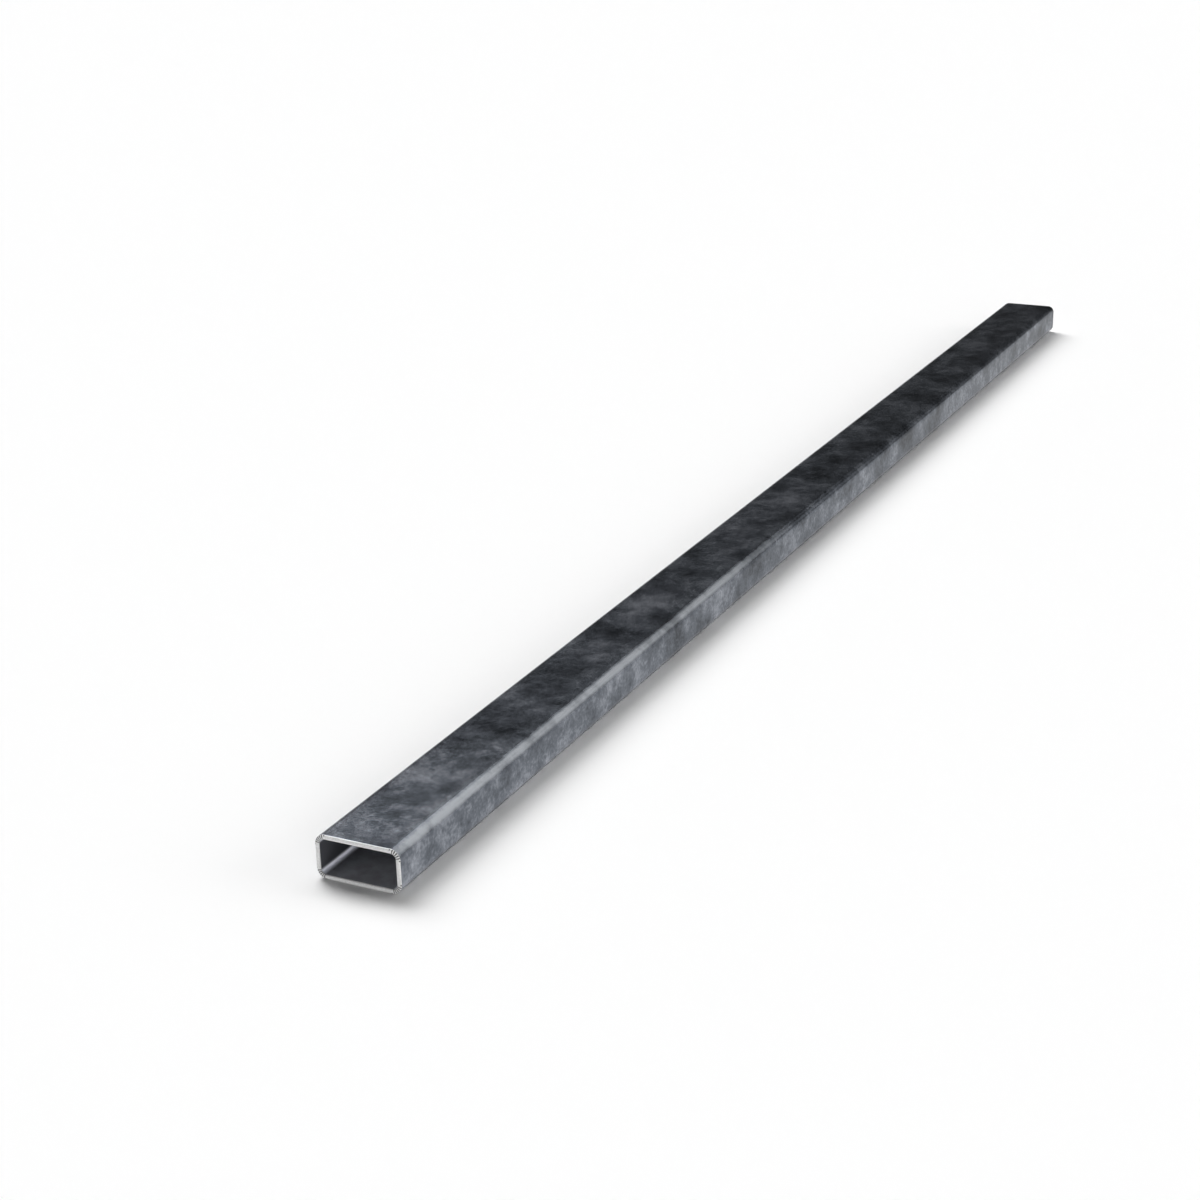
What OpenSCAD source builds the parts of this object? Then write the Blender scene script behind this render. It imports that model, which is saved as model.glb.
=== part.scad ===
// Rectangular steel tube: flat strip bent round to a closed section and cut square at both ends.
// It lies as it would on a floor. Its length runs along X, its wide faces are level, and the
// origin is in the middle of its bottom face.

/* [Section] */
// Outside width of the section, across the wide faces
tube_width = 40; // [25:1:80]
// Outside height of the section, across the narrow faces
tube_height = 20; // [16:1:60]
// Thickness of the wall, the same all round
wall = 2; // [1.5:0.1:3]
// Inside radius that the strip is bent to at each corner
bend_radius = 2.5; // [0.5:0.1:4]

/* [Length] */
// Length that the tube is cut to
tube_length = 1000; // [200:10:6000]

/* [Cut ends] */
// Radius that deburring leaves on the inner and outer edge of each cut end
edge_radius = 0.5; // [0.1:0.05:0.7]

/* [Hidden] */
$fn = 64;

steel_color = [0.25, 0.26, 0.28];
corner_radius = bend_radius + wall;
flat_width = tube_width - 2 * corner_radius;
flat_height = tube_height - 2 * corner_radius;

// The sliver that deburring takes off one square corner of the strip. It points to +X and +Y.
module edge_sliver() {
    difference() {
        square(edge_radius);
        circle(edge_radius);
    }
}

// Lengthwise cut through the strip: X is its thickness and Y its length, with rounded ends.
module strip_profile() {
    difference() {
        translate([0, -tube_length / 2])
            square([wall, tube_length]);
        for (end = [0, 1], face = [0, 1])
            mirror([0, end])
                translate([wall / 2, tube_length / 2 - edge_radius])
                    mirror([face, 0])
                        translate([wall / 2 - edge_radius, 0])
                            edge_sliver();
    }
}

// Flat stretch of the strip, standing on end, with its inner surface at reach along X.
module flat_wall(reach, across) {
    translate([reach, 0, 0])
        rotate([90, 0, 0])
            linear_extrude(across, center = true)
                strip_profile();
}

// Quarter turn of the strip round one corner of the section, standing on end.
module corner_bend() {
    rotate_extrude(angle = 90)
        translate([bend_radius, 0])
            strip_profile();
}

// The closed section, standing on end, with its width along X and its height along Y.
module standing_tube() {
    for (turn = [0, 180]) {
        rotate([0, 0, turn])
            flat_wall(tube_width / 2 - wall, flat_height);
        rotate([0, 0, turn + 90])
            flat_wall(tube_height / 2 - wall, flat_width);
        rotate([0, 0, turn])
            translate([flat_width / 2, flat_height / 2, 0])
                corner_bend();
        rotate([0, 0, turn])
            translate([-flat_width / 2, flat_height / 2, 0])
                rotate([0, 0, 90])
                    corner_bend();
    }
}

module rectangular_tube() {
    color(steel_color)
        translate([0, 0, tube_height / 2])
            rotate([90, 0, 90])
                standing_tube();
}

rectangular_tube();
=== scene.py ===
import math

import bmesh
import bpy
from mathutils import Matrix, Vector


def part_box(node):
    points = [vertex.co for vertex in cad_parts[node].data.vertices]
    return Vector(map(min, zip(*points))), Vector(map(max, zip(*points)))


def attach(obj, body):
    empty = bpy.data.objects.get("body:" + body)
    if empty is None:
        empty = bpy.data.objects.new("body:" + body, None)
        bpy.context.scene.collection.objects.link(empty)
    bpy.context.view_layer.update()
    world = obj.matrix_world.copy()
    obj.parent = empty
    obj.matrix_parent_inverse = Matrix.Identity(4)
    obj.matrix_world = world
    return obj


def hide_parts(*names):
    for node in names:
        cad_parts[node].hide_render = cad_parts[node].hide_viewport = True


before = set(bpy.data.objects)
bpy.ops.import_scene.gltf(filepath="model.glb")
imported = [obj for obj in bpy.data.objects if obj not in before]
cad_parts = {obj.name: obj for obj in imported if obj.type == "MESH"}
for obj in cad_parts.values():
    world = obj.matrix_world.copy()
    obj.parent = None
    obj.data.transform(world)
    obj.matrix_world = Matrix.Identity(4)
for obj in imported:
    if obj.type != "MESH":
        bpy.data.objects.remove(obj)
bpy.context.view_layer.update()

# The camera. It stands in front of the near cut end and to its right, and looks down along the tube.
# Its place, its lens and its roll are those that put the tube's straight edges where the photograph
# has them. The lens and the film are in millimetres of the camera, the rest in metres of the scene.
mm = 0.001
camera_place = Vector((-1155.1, -435.1, 418.3)) * mm
camera_aim = Vector((-169.8, 51.5, 0)) * mm
camera_roll = math.radians(1.38)
camera_lens = 65.19
camera_film = 36
nearest_seen = 0.05
farthest_seen = 100

bpy.ops.object.camera_add(location=camera_place)
camera = bpy.context.object
camera.name = "camera"
camera.data.sensor_width = camera_film
camera.data.lens = camera_lens
camera.data.clip_start = nearest_seen
camera.data.clip_end = farthest_seen
aim_turn = (camera_aim - camera_place).to_track_quat("-Z", "Y").to_matrix().to_4x4()
roll_turn = Matrix.Rotation(-camera_roll, 4, "Z")
camera.matrix_world = Matrix.Translation(camera_place) @ aim_turn @ roll_turn
bpy.context.scene.camera = camera

# The tube. One flat strip of hot-rolled steel is rolled up cold to a rectangle, so it has round
# corners inside and out, and is then sawn to length. The mill scale stays on its skin and in its
# bore, and the saw and the deburring brush leave both ends bright.
tube_low, tube_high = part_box("rectangular_tube")
tube_size = tube_high - tube_low
tube_middle = (tube_low + tube_high) / 2
half_length = tube_size.x / 2
wall = 2 * mm
corner_radius = 4.5 * mm
edge_radius = 0.5 * mm
groove_depth = 0.2 * mm
# Flat steps round one bend, and round the edge of a cut end. Every third line of a bend is a groove.
corner_steps = 18
edge_steps = 4
groove_every = 3
# The mesh has rings along the tube, and lines a little way past each bend and each rounded edge,
# which keep the flats between them shaded flat.
ring_spacing = 50 * mm
shoulder = 0.5 * mm
smooth_below = math.radians(35)
tiny = 0.01 * mm


def edit_mesh(piece, mode):
    """Opens the piece in edit mode with nothing selected, and hands over its mesh."""
    bpy.ops.object.mode_set(mode="EDIT")
    bpy.ops.mesh.select_mode(type=mode)
    bpy.ops.mesh.select_all(action="DESELECT")
    return bmesh.from_edit_mesh(piece.data)


def select_where(piece, mesh, items, test):
    """Selects the vertices, edges or faces that pass the test."""
    for item in items:
        if test(item):
            item.select_set(True)
    mesh.select_flush_mode()
    bmesh.update_edit_mesh(piece.data)


def bisect_all(place, direction):
    """Adds a line to the whole open mesh, where the plane through the place cuts it."""
    bpy.ops.mesh.select_all(action="SELECT")
    bpy.ops.mesh.bisect(plane_co=place, plane_no=direction)


def faces_lengthwise(face):
    """Tells whether a face looks along the tube, as those of the cut ends do."""
    return abs(face.normal.x) > 0.5


def borders_rim(edge):
    """Tells whether an edge parts the rim of a cut end from the skin or from the bore."""
    return sorted(faces_lengthwise(face) for face in edge.link_faces) == [False, True]


def bend_reach(vertex):
    """Gives how far a vertex lies out from the centre of its nearest bend, across and upward."""
    across = abs(vertex.co.y) - (tube_size.y / 2 - corner_radius)
    upward = abs(vertex.co.z - tube_middle.z) - (tube_size.z / 2 - corner_radius)
    return across, upward


def bend_share(vertex):
    """Gives the place of a vertex round its bend: 0 on a wide face, 1 on a narrow face."""
    across, upward = bend_reach(vertex)
    return math.atan2(max(across, 0), max(upward, 0)) / (math.pi / 2)


def lies_in_groove(vertex):
    """Tells whether a vertex is on a groove: on a cut end or its rounded edge, and in a bend."""
    at_end = abs(vertex.co.x) > half_length - edge_radius - tiny
    in_bend = min(bend_reach(vertex)) > -tiny
    step = round(bend_share(vertex) * corner_steps)
    return at_end and in_bend and step % groove_every == 0


# The skin: a box without ends, with its four long edges rounded.
bpy.ops.object.select_all(action="DESELECT")
bpy.ops.mesh.primitive_cube_add(size=1, location=tube_middle, scale=tube_size)
tube = bpy.context.object
tube.name = "sawn_tube"
bpy.ops.object.transform_apply(location=True, rotation=True, scale=True)

mesh = edit_mesh(tube, "FACE")
select_where(tube, mesh, mesh.faces, faces_lengthwise)
bpy.ops.mesh.delete(type="ONLY_FACE")
bpy.ops.object.mode_set(mode="OBJECT")

mesh = edit_mesh(tube, "EDGE")
select_where(tube, mesh, mesh.edges, lambda edge: edge.calc_length() > half_length)
bpy.ops.mesh.bevel(offset=corner_radius, segments=corner_steps, profile=0.5, affect="EDGES")
flat_reach = tube_size / 2 - Vector((1, 1, 1)) * (corner_radius + shoulder)
for side in (-1, 1):
    bisect_all(flat_reach * side + tube_middle, (0, 1, 0))
    bisect_all(flat_reach * side + tube_middle, (0, 0, 1))
ring_count = round(tube_size.x / ring_spacing) - 1
ring_places = [tube_low.x + (ring + 1) * ring_spacing for ring in range(ring_count)]
ring_places += [tube_low.x + edge_radius + shoulder, tube_high.x - edge_radius - shoulder]
for ring_place in ring_places:
    bisect_all((ring_place, 0, 0), (1, 0, 0))
bpy.ops.object.mode_set(mode="OBJECT")


def blank_material(name):
    """Makes a material that has no nodes yet."""
    material = bpy.data.materials.new(name)
    material.use_nodes = True
    material.node_tree.nodes.clear()
    return material


# The wall gets its thickness inwards from the skin. The bore takes the second material, and the
# rims of the cut ends the third.
mill_scale = blank_material("mill_scale")
bore_scale = blank_material("bore_scale")
sawn_steel = blank_material("sawn_steel")
for material in (mill_scale, bore_scale, sawn_steel):
    tube.data.materials.append(material)
thickness = tube.modifiers.new("wall", "SOLIDIFY")
thickness.thickness = wall
thickness.offset = -1
thickness.use_even_offset = True
thickness.material_offset = 1
thickness.material_offset_rim = 2
bpy.ops.object.modifier_apply(modifier="wall")

# The deburring brush rounds the edges of both rims, so that the rim looks like a bead.
mesh = edit_mesh(tube, "EDGE")
select_where(tube, mesh, mesh.edges, borders_rim)
bpy.ops.mesh.bevel(offset=edge_radius, segments=edge_steps, profile=0.5, affect="EDGES", material=2)
bpy.ops.object.mode_set(mode="OBJECT")

# It skips round the bends, and leaves a row of short grooves across the rim there.
for end in (-1, 1):
    mesh = edit_mesh(tube, "VERT")
    select_where(tube, mesh, mesh.verts, lambda vertex: vertex.co.x * end > 0 and lies_in_groove(vertex))
    bpy.ops.transform.translate(value=(-end * groove_depth, 0, 0))
    bpy.ops.object.mode_set(mode="OBJECT")

# The materials read from the mesh where the bends and the grooves are.
bend = tube.data.attributes.new("bend", "FLOAT", "POINT")
groove = tube.data.attributes.new("groove", "FLOAT", "POINT")
for vertex, bend_value, groove_value in zip(tube.data.vertices, bend.data, groove.data):
    bend_value.value = bend_share(vertex)
    groove_value.value = 1 if lies_in_groove(vertex) else 0
bpy.ops.object.shade_smooth_by_angle(angle=smooth_below)


def hex_colour(text):
    """Turns an sRGB hex colour to the linear values that the shader takes."""
    channels = [int(text[start : start + 2], 16) / 255 for start in (0, 2, 4)]
    return [c / 12.92 if c <= 0.04045 else ((c + 0.055) / 1.055) ** 2.4 for c in channels] + [1]


def add_node(owner, kind, inputs=None, **settings):
    """Adds a node with its settings. An input is a value, or the output that is linked to it."""
    tree = owner.node_tree
    new = tree.nodes.new(kind)
    for name, value in settings.items():
        setattr(new, name, value)
    for name, value in (inputs or {}).items():
        if isinstance(value, bpy.types.NodeSocket):
            tree.links.new(value, new.inputs[name])
        else:
            new.inputs[name].default_value = value
    return new


def set_ramp(ramp, stops):
    """Gives a colour ramp its stops, as pairs of place and hex colour."""
    elements = ramp.color_ramp.elements
    while len(elements) < len(stops):
        elements.new(1)
    for element, (place, colour) in zip(elements, stops):
        element.position = place
        element.color = hex_colour(colour)


# Hot-rolled mill scale: a hard blue-grey skin of iron oxide. It is cloudy, with paler bloom and
# glassy dark patches, and it shines softly like worn metal. The shift chooses which stretch of the
# endless pattern the tube shows. Next to the near cut end the scale is painted a little paler, as a
# painted highlight that fades along the tube, and past that it is painted a trace darker.
cloud_size = 26 * mm
mottle_size = 7 * mm
grain_size = 1.6 * mm
mottle_share = 0.36
grain_share = 0.22
grain_dark = 0.27
grain_pale = 0.73
scale_shift = Vector((546, -118, 231)) * mm
# Painted highlight: how far the paler paint reaches from the near end, how much paler it paints there, and
# how much darker past it.
lift_fades_at = -370 * mm
near_end_lift = 0.035
far_painted_dimming = -0.01
dark_scale = "363a40"
grey_scale = "686d75"
pale_scale = "9da1a9"
dark_sheen = 0.24
pale_sheen = 0.27

place = add_node(mill_scale, "ShaderNodeTexCoord").outputs["Object"]
spot = add_node(
    mill_scale, "ShaderNodeVectorMath", {0: place, 1: scale_shift}, operation="ADD"
).outputs["Vector"]
clouds = add_node(
    mill_scale,
    "ShaderNodeTexNoise",
    {"Vector": spot, "Scale": 1 / cloud_size, "Detail": 6, "Roughness": 0.55},
).outputs["Fac"]
mottle = add_node(
    mill_scale,
    "ShaderNodeTexNoise",
    {"Vector": spot, "Scale": 1 / mottle_size, "Detail": 6, "Roughness": 0.6},
).outputs["Fac"]
grain = add_node(
    mill_scale,
    "ShaderNodeTexNoise",
    {"Vector": spot, "Scale": 1 / grain_size, "Detail": 3, "Roughness": 0.5},
).outputs["Fac"]
# The grain without its few brightest and darkest specks, which would sparkle.
even_grain = add_node(
    mill_scale,
    "ShaderNodeMapRange",
    {
        "Value": grain,
        "From Min": grain_dark,
        "From Max": grain_pale,
        "To Min": grain_dark,
        "To Max": grain_pale,
    },
).outputs["Result"]
drift = add_node(
    mill_scale, "ShaderNodeMix", {"Factor": mottle_share, "A": clouds, "B": mottle}
).outputs["Result"]
grained = add_node(
    mill_scale, "ShaderNodeMix", {"Factor": grain_share, "A": drift, "B": even_grain}
).outputs["Result"]
axes = add_node(mill_scale, "ShaderNodeSeparateXYZ", {"Vector": place})
# A painted highlight: the scale is painted paler next to the near cut end, fading along the tube.
painted_lift = add_node(
    mill_scale,
    "ShaderNodeMapRange",
    {
        "Value": axes.outputs["X"],
        "From Min": tube_low.x,
        "From Max": lift_fades_at,
        "To Min": near_end_lift,
        "To Max": far_painted_dimming,
    },
).outputs["Result"]
# The tone is the scale's clouds plus the painted highlight next to the near end.
bloom_and_painted_lift = add_node(mill_scale, "ShaderNodeMath", {0: grained, 1: painted_lift}, operation="ADD").outputs["Value"]
scale_colour = add_node(mill_scale, "ShaderNodeValToRGB", {"Fac": bloom_and_painted_lift})
set_ramp(scale_colour, [(0.36, dark_scale), (0.50, grey_scale), (0.64, pale_scale)])
sheen = add_node(
    mill_scale,
    "ShaderNodeMapRange",
    {"Value": bloom_and_painted_lift, "From Min": 0.38, "From Max": 0.62, "To Min": dark_sheen, "To Max": pale_sheen},
).outputs["Result"]

# A painted highlight on the bends. The two bends on the right are painted pale and made duller, in
# patches, from the near end to where the stripe fades out, so they show a pale, duller and patchy stripe.
stripe_full = -170 * mm
stripe_fades = -50 * mm
right_from = 0
right_full = -10 * mm
faintest_stripe = 0.45
# The pale colour painted on as the highlight, and the roughness of the stripe.
painted_stripe_colour = "b2b6bb"
stripe_sheen = 0.4
low_angle_tint = "e0e0e0"

round_bend = add_node(mill_scale, "ShaderNodeAttribute", attribute_name="bend").outputs["Fac"]
in_bend = add_node(mill_scale, "ShaderNodeValToRGB", {"Fac": round_bend})
set_ramp(in_bend, [(0.0, "000000"), (0.38, "ffffff"), (0.52, "ffffff"), (0.80, "000000")])
on_right = add_node(
    mill_scale,
    "ShaderNodeMapRange",
    {"Value": axes.outputs["Y"], "From Min": right_from, "From Max": right_full},
).outputs["Result"]
near_part = add_node(
    mill_scale,
    "ShaderNodeMapRange",
    {"Value": axes.outputs["X"], "From Min": stripe_full, "From Max": stripe_fades, "To Min": 1, "To Max": 0},
    interpolation_type="SMOOTHSTEP",
).outputs["Result"]
in_patches = add_node(
    mill_scale,
    "ShaderNodeMapRange",
    {"Value": drift, "From Min": 0.40, "From Max": 0.54, "To Min": faintest_stripe},
).outputs["Result"]
# How much of the painted highlight each point of the right-hand bends gets.
highlight_share = in_bend.outputs["Color"]
for limit in (near_part, in_patches, on_right):
    highlight_share = add_node(
        mill_scale, "ShaderNodeMath", {0: highlight_share, 1: limit}, operation="MULTIPLY"
    ).outputs["Value"]
skin_colour = add_node(
    mill_scale,
    "ShaderNodeMix",
    {"Factor": highlight_share, "A": scale_colour.outputs["Color"], "B": hex_colour(painted_stripe_colour)},
    data_type="RGBA",
).outputs["Result"]
skin_sheen = add_node(
    mill_scale, "ShaderNodeMix", {"Factor": highlight_share, "A": sheen, "B": stripe_sheen}
).outputs["Result"]

# Oxide dims what it mirrors at a low angle a little, which the grey tint gives.
surface = add_node(
    mill_scale,
    "ShaderNodeBsdfPrincipled",
    {
        "Base Color": skin_colour,
        "Metallic": 1.0,
        "Roughness": skin_sheen,
        "Specular Tint": hex_colour(low_angle_tint),
    },
).outputs["BSDF"]
add_node(mill_scale, "ShaderNodeOutputMaterial", {"Surface": surface})

# Scale inside the bore: dull, and painted far paler than the skin's scale, as painted light. The
# narrow walls are painted darker, as painted shade, and the bends near white, as a painted highlight.
# It blurs what it mirrors far more along the tube than across it, so each bend shows as a soft pale streak.
# The bore's scale is painted far paler than the skin's, as painted light for the little light that reaches
# in.
dark_bore = "9c9da3"
pale_bore = "b4b6bd"
# The bends' painted highlight, and the narrow walls' painted shade.
bend_highlight_paint = "e4e6ee"
narrow_wall_shade = "5a5b60"

place = add_node(bore_scale, "ShaderNodeTexCoord").outputs["Object"]
flakes = add_node(
    bore_scale,
    "ShaderNodeTexNoise",
    {"Vector": place, "Scale": 1 / mottle_size, "Detail": 6, "Roughness": 0.65},
).outputs["Fac"]
wide_colour = add_node(bore_scale, "ShaderNodeValToRGB", {"Fac": flakes})
set_ramp(wide_colour, [(0.35, dark_bore), (0.65, pale_bore)])
round_bend = add_node(bore_scale, "ShaderNodeAttribute", attribute_name="bend").outputs["Fac"]
in_bend = add_node(bore_scale, "ShaderNodeValToRGB", {"Fac": round_bend})
set_ramp(in_bend, [(0.0, "000000"), (0.3, "ffffff"), (0.7, "ffffff"), (1.0, "000000")])
# The bends are painted near white, as a painted highlight.
highlighted_bore_colour = add_node(
    bore_scale,
    "ShaderNodeMix",
    {
        "Factor": in_bend.outputs["Color"],
        "A": wide_colour.outputs["Color"],
        "B": hex_colour(bend_highlight_paint),
    },
    data_type="RGBA",
).outputs["Result"]
# The narrow walls are painted darker, as painted shade.
on_narrow = add_node(
    bore_scale, "ShaderNodeMapRange", {"Value": round_bend, "From Min": 0.7, "From Max": 1.0}
).outputs["Result"]
bore_colour = add_node(
    bore_scale,
    "ShaderNodeMix",
    {"Factor": on_narrow, "A": highlighted_bore_colour, "B": hex_colour(narrow_wall_shade)},
    data_type="RGBA",
).outputs["Result"]
around = add_node(bore_scale, "ShaderNodeTangent", direction_type="RADIAL", axis="X").outputs["Tangent"]
surface = add_node(
    bore_scale,
    "ShaderNodeBsdfPrincipled",
    {
        "Base Color": bore_colour,
        "Metallic": 1.0,
        "Roughness": 0.75,
        "Anisotropic": 0.9,
        "Anisotropic Rotation": 0.25,
        "Tangent": around,
    },
).outputs["BSDF"]
add_node(bore_scale, "ShaderNodeOutputMaterial", {"Surface": surface})

# Sawn and brushed steel: bright and even, because its fine scratches scatter the light and mirror
# little. They are finer than a pixel, so they are drawn as coarse as it takes to break up the white.
# The grooves are painted nearly black, as painted shade in them.
scratch_size = 0.6 * mm
dark_scratch = "e2e2e2"
pale_scratch = "f6f6f6"
# Painted shade in the grooves.
groove_shade = "28282a"

place = add_node(sawn_steel, "ShaderNodeTexCoord").outputs["Object"]
scratches = add_node(
    sawn_steel,
    "ShaderNodeTexNoise",
    {"Vector": place, "Scale": 1 / scratch_size, "Detail": 3, "Roughness": 0.6},
).outputs["Fac"]
brushed_colour = add_node(sawn_steel, "ShaderNodeValToRGB", {"Fac": scratches})
set_ramp(brushed_colour, [(0.35, dark_scratch), (0.65, pale_scratch)])
near_groove = add_node(sawn_steel, "ShaderNodeAttribute", attribute_name="groove").outputs["Fac"]
in_groove = add_node(
    sawn_steel, "ShaderNodeMapRange", {"Value": near_groove, "From Min": 0.1, "From Max": 0.6}
).outputs["Result"]
# Painted shade: the grooves are painted nearly black.
rim_colour = add_node(
    sawn_steel,
    "ShaderNodeMix",
    {"Factor": in_groove, "A": brushed_colour.outputs["Color"], "B": hex_colour(groove_shade)},
    data_type="RGBA",
).outputs["Result"]
surface = add_node(
    sawn_steel,
    "ShaderNodeBsdfPrincipled",
    {"Base Color": rim_colour, "Metallic": 0.2, "Roughness": 0.5},
).outputs["BSDF"]
add_node(sawn_steel, "ShaderNodeOutputMaterial", {"Surface": surface})

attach(tube, "root")
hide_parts("rectangular_tube")

# The floor. One wide sheet of white paper that the tube lies on, and that keeps the tube's shadow.
# The steel mirrors it as plain white without the shadow, as in the photograph, except right under
# the tube. One fades into the other over a millimetre at the tube's sides, and sooner at its ends.
floor_span = 120
paper = "fefefe"
fade = 1 * mm
end_sharpness = 10

bpy.ops.object.select_all(action="DESELECT")
bpy.ops.mesh.primitive_plane_add(size=floor_span, location=(0, 0, tube_low.z))
floor = bpy.context.object
floor.name = "floor"
white_paper = blank_material("white_paper")
floor.data.materials.append(white_paper)
lit = add_node(white_paper, "ShaderNodeBsdfDiffuse", {"Color": hex_colour(paper)}).outputs["BSDF"]
plain = add_node(
    white_paper, "ShaderNodeEmission", {"Color": hex_colour(paper), "Strength": 1}
).outputs["Emission"]
ray = add_node(white_paper, "ShaderNodeLightPath")
unscattered = add_node(
    white_paper, "ShaderNodeMath", {0: ray.outputs["Diffuse Depth"], 1: 0.5}, operation="LESS_THAN"
).outputs["Value"]
mirrored = add_node(
    white_paper,
    "ShaderNodeMath",
    {0: ray.outputs["Is Glossy Ray"], 1: unscattered},
    operation="MULTIPLY",
).outputs["Value"]
place = add_node(white_paper, "ShaderNodeTexCoord").outputs["Object"]
from_middle = add_node(
    white_paper, "ShaderNodeVectorMath", {0: place}, operation="ABSOLUTE"
).outputs["Vector"]
past_edge = add_node(
    white_paper, "ShaderNodeVectorMath", {0: from_middle, 1: tube_size / 2}, operation="SUBTRACT"
).outputs["Vector"]
sharpened = add_node(
    white_paper, "ShaderNodeVectorMath", {0: past_edge, 1: (end_sharpness, 1, 1)}, operation="MULTIPLY"
).outputs["Vector"]
past = add_node(white_paper, "ShaderNodeSeparateXYZ", {"Vector": sharpened})
farther_past = add_node(
    white_paper, "ShaderNodeMath", {0: past.outputs["X"], 1: past.outputs["Y"]}, operation="MAXIMUM"
).outputs["Value"]
beside_tube = add_node(
    white_paper, "ShaderNodeMapRange", {"Value": farther_past, "From Min": -fade / 2, "From Max": fade / 2}
).outputs["Result"]
shown_plain = add_node(
    white_paper, "ShaderNodeMath", {0: mirrored, 1: beside_tube}, operation="MULTIPLY"
).outputs["Value"]
surface = add_node(white_paper, "ShaderNodeMixShader", {0: shown_plain, 1: lit, 2: plain}).outputs["Shader"]
add_node(white_paper, "ShaderNodeOutputMaterial", {"Surface": surface})

# The studio lamps. Seven wide soft lamps stand far off. Each has a direction that it shines from,
# the width that it takes up in the sky, and the share of an open floor's light that it gives.
lamp_distance = 5


def add_soft_lamp(name, azimuth, elevation, width, share):
    """Adds a lamp. Azimuth 0 is towards +X and 90 towards +Y, and all angles are in degrees."""
    turn = math.radians(azimuth)
    height = math.radians(elevation)
    level = Vector((math.cos(turn), math.sin(turn), 0)) * math.cos(height)
    towards = level + Vector((0, 0, math.sin(height)))
    bpy.ops.object.light_add(type="SUN", location=towards * lamp_distance)
    lamp = bpy.context.object
    lamp.name = name
    lamp.rotation_euler = towards.to_track_quat("Z", "Y").to_euler()
    lamp.data.angle = math.radians(width)
    lamp.data.energy = share * math.pi / math.sin(height)
    lamp.visible_camera = False


# Three lamps behind the tube and to its left throw its soft shadow to the front and the right.
add_soft_lamp("light_key", 36, 50, 30, 0.19)
add_soft_lamp("light_high", 45, 60, 30, 0.20)
add_soft_lamp("light_low", 60, 40, 30, 0.34)
# The bends with the painted highlight mirror the next two in their pale stripe, and they light the
# right side.
add_soft_lamp("light_behind", -8, 46, 30, 0.065)
add_soft_lamp("light_right", -40, 26, 40, 0.05)
# A low lamp on the right leaves a faint haze of shadow at the tube's left.
add_soft_lamp("light_side", -72, 20, 26, 0.07)
# A low lamp in front of the near end whitens its rim.
add_soft_lamp("light_front", 218, 17, 26, 0.065)

# The room round the floor. It is white low down, as a studio's walls are, and dim above. Behind the
# tube the white band is low and the rest darkest, because the top face mirrors that part. Light that
# the floor scatters finds the room darker still, so that the shadow keeps its depth. Places in the
# room are parts of a direction of length 1.
behind_from = 0.35
behind_full = 0.65
band_height = 0.26
band_height_behind = 0.02
band_softness = 0.04
upper_strength = 0.14
upper_strength_behind = 0.03
scattered_strength = 0.015
wall_colour = "ffffff"

world = bpy.data.worlds.new("room")
bpy.context.scene.world = world
world.use_nodes = True
world.node_tree.nodes.clear()
direction = add_node(world, "ShaderNodeTexCoord").outputs["Generated"]
towards = add_node(world, "ShaderNodeSeparateXYZ", {"Vector": direction})
band_top = add_node(
    world,
    "ShaderNodeMapRange",
    {
        "Value": towards.outputs["X"],
        "From Min": behind_from,
        "From Max": behind_full,
        "To Min": band_height,
        "To Max": band_height_behind,
    },
).outputs["Result"]
upper = add_node(
    world,
    "ShaderNodeMapRange",
    {
        "Value": towards.outputs["X"],
        "From Min": behind_from,
        "From Max": behind_full,
        "To Min": upper_strength,
        "To Max": upper_strength_behind,
    },
).outputs["Result"]
above_band = add_node(
    world, "ShaderNodeMath", {0: towards.outputs["Z"], 1: band_top}, operation="SUBTRACT"
).outputs["Value"]
strength = add_node(
    world,
    "ShaderNodeMapRange",
    {"Value": above_band, "From Min": 0, "From Max": band_softness, "To Min": 1, "To Max": upper},
).outputs["Result"]
seen = add_node(world, "ShaderNodeBackground", {"Color": hex_colour(wall_colour), "Strength": strength})
dim = add_node(
    world,
    "ShaderNodeBackground",
    {"Color": hex_colour(wall_colour), "Strength": scattered_strength},
)
bounces = add_node(world, "ShaderNodeLightPath").outputs["Diffuse Depth"]
scattered = add_node(
    world, "ShaderNodeMath", {0: bounces, 1: 0.5}, operation="GREATER_THAN"
).outputs["Value"]
room = add_node(
    world,
    "ShaderNodeMixShader",
    {0: scattered, 1: seen.outputs["Background"], 2: dim.outputs["Background"]},
).outputs["Shader"]
add_node(world, "ShaderNodeOutputWorld", {"Surface": room})

bpy.context.scene.view_settings.view_transform = "Standard"
